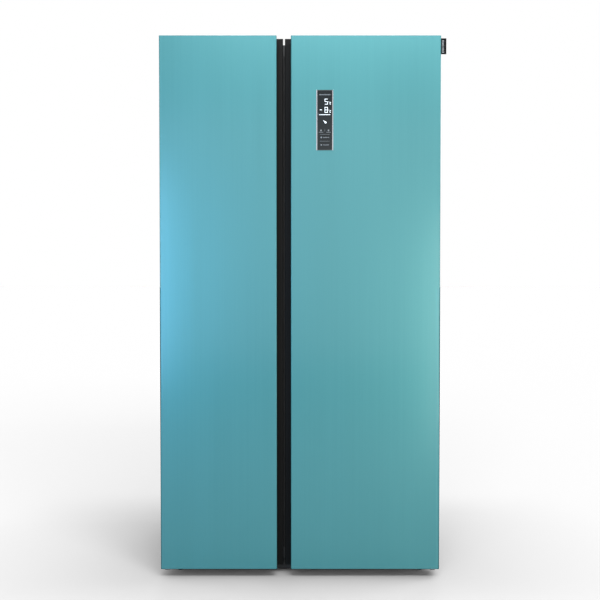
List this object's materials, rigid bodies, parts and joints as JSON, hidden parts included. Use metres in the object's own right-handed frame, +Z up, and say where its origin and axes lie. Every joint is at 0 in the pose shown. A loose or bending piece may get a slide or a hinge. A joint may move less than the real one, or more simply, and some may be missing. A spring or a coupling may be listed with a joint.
{
  "type": "side by side refrigerator",
  "caption": "Side by side refrigerator with hinged freezer and fridge doors, recessed full-height grips, a door display, pull-out drawers and levelling feet.",
  "frame": {"origin": "on the floor, under the middle of the closed doors' width and of the overall depth", "axes": "+Z up; +X to the right as seen from the front; +Y from the doors towards the back"},
  "size_m": [0.9285, 0.701, 1.775],
  "materials": {
    "cabinet_paint": "satin",
    "door_coat": "satin metallic film",
    "galvanised": "satin",
    "mullion": "satin",
    "foam": "matte",
    "liner": "semi-gloss",
    "white_trim": "semi-gloss",
    "dark_trim": "matte",
    "grip_black": "satin",
    "caps_grey": "matte",
    "clear_tub": "clear",
    "shelf_glass": "polished",
    "display_glass": "polished",
    "bezel": "brushed",
    "circuit_board": "semi-gloss",
    "bare_aluminium": "satin",
    "black_enamel": "gloss",
    "motor": "satin",
    "gasket": "matte",
    "foot_plastic": "matte",
    "label_weave": "woven",
    "hinge_steel": "satin"
  },
  "bodies": {
    "cabinet": {"cabinet_shell": "cabinet_paint", "back_panel": "galvanised", "bottom_board": "galvanised", "base_plate": "galvanised", "cabinet_foam": "foam", "freezer_liner": "liner", "fridge_liner": "liner", "mullion_plate": "mullion", "kick_plate": "dark_trim", "top_hinges": "hinge_steel", "bottom_hinges": "hinge_steel", "hinge_covers": "dark_trim", "control_box_lid": "dark_trim", "control_board": "circuit_board", "freezer_shelves": "shelf_glass", "fridge_shelves": "shelf_glass", "freezer_duct_cover": "white_trim", "fridge_duct_cover": "white_trim", "evaporator": "bare_aluminium", "compressor": "black_enamel", "condenser": "black_enamel", "drain_pan": "dark_trim", "fan_motors": "motor", "machine_room_cover": "galvanised", "lamp_covers": "white_trim", "power_gland": "dark_trim"},
    "freezer_door": {"freezer_door_panel": "door_coat", "freezer_door_foam": "foam", "freezer_door_liner": "liner", "freezer_door_gasket": "gasket", "freezer_door_handle": "grip_black", "freezer_door_caps": "caps_grey", "freezer_bin_1": "clear_tub", "freezer_bin_2": "clear_tub", "freezer_bin_3": "clear_tub", "freezer_bin_4": "clear_tub"},
    "fridge_door": {"fridge_door_panel": "door_coat", "fridge_door_foam": "foam", "fridge_door_liner": "liner", "fridge_door_gasket": "gasket", "fridge_door_handle": "grip_black", "fridge_door_caps": "caps_grey", "fridge_bin_1": "clear_tub", "fridge_bin_2": "clear_tub", "fridge_bin_3": "clear_tub", "fridge_bin_4": "clear_tub", "display_bezel": "bezel", "display_glass": "display_glass", "display_board": "circuit_board", "side_label": "label_weave"},
    "condenser_fan": {"condenser_fan": "dark_trim"},
    "crisper_drawer_lower": {"crisper_drawer_lower": "clear_tub"},
    "crisper_drawer_upper": {"crisper_drawer_upper": "clear_tub"},
    "evaporator_fan": {"evaporator_fan": "white_trim"},
    "freezer_drawer_lower": {"freezer_drawer_lower": "clear_tub"},
    "freezer_drawer_upper": {"freezer_drawer_upper": "clear_tub"},
    "levelling_foot_left": {"levelling_foot_left": "foot_plastic"},
    "levelling_foot_right": {"levelling_foot_right": "foot_plastic"},
    "rear_roller_left": {"rear_roller_left": "foot_plastic"},
    "rear_roller_right": {"rear_roller_right": "foot_plastic"}
  },
  "joints": [
    {"name": "freezer_door_hinge", "type": "hinge", "parent": "cabinet", "child": "freezer_door", "pos_m": [-0.4375, -0.32, 0.03], "axis": [0, 0, -1], "range_deg": [0, 105]},
    {"name": "fridge_door_hinge", "type": "hinge", "parent": "cabinet", "child": "fridge_door", "pos_m": [0.4375, -0.32, 0.03], "axis": [0, 0, 1], "range_deg": [0, 105]},
    {"name": "freezer_drawer_upper_slide", "type": "slide", "parent": "cabinet", "child": "freezer_drawer_upper", "axis": [0, -1, 0], "range_m": [0, 0.2016]},
    {"name": "freezer_drawer_lower_slide", "type": "slide", "parent": "cabinet", "child": "freezer_drawer_lower", "axis": [0, -1, 0], "range_m": [0, 0.165]},
    {"name": "crisper_drawer_upper_slide", "type": "slide", "parent": "cabinet", "child": "crisper_drawer_upper", "axis": [0, -1, 0], "range_m": [0, 0.2016]},
    {"name": "crisper_drawer_lower_slide", "type": "slide", "parent": "cabinet", "child": "crisper_drawer_lower", "axis": [0, -1, 0], "range_m": [0, 0.165]},
    {"name": "rear_roller_left_spin", "type": "hinge", "parent": "cabinet", "child": "rear_roller_left", "pos_m": [-0.4035, 0.28, 0.018], "axis": [1, 0, 0], "continuous": true},
    {"name": "rear_roller_right_spin", "type": "hinge", "parent": "cabinet", "child": "rear_roller_right", "pos_m": [0.4035, 0.28, 0.018], "axis": [1, 0, 0], "continuous": true},
    {"name": "levelling_foot_left_screw", "type": "slide", "parent": "cabinet", "child": "levelling_foot_left", "axis": [0, 0, -1], "range_m": [0, 0.01]},
    {"name": "levelling_foot_right_screw", "type": "slide", "parent": "cabinet", "child": "levelling_foot_right", "axis": [0, 0, -1], "range_m": [0, 0.01]},
    {"name": "evaporator_fan_spin", "type": "hinge", "parent": "cabinet", "child": "evaporator_fan", "pos_m": [-0.24, 0.214, 0.644], "axis": [0, 1, 0], "continuous": true},
    {"name": "condenser_fan_spin", "type": "hinge", "parent": "cabinet", "child": "condenser_fan", "pos_m": [0.1385, 0.225, 0.133], "axis": [1, 0, 0], "continuous": true}
  ],
  "couplings": [
    {"joint": "freezer_drawer_upper_slide", "follows": "freezer_door_hinge", "m_per_rad": 0.11},
    {"joint": "freezer_drawer_lower_slide", "follows": "freezer_door_hinge", "m_per_rad": 0.09},
    {"joint": "crisper_drawer_upper_slide", "follows": "fridge_door_hinge", "m_per_rad": 0.11},
    {"joint": "crisper_drawer_lower_slide", "follows": "fridge_door_hinge", "m_per_rad": 0.09}
  ]
}
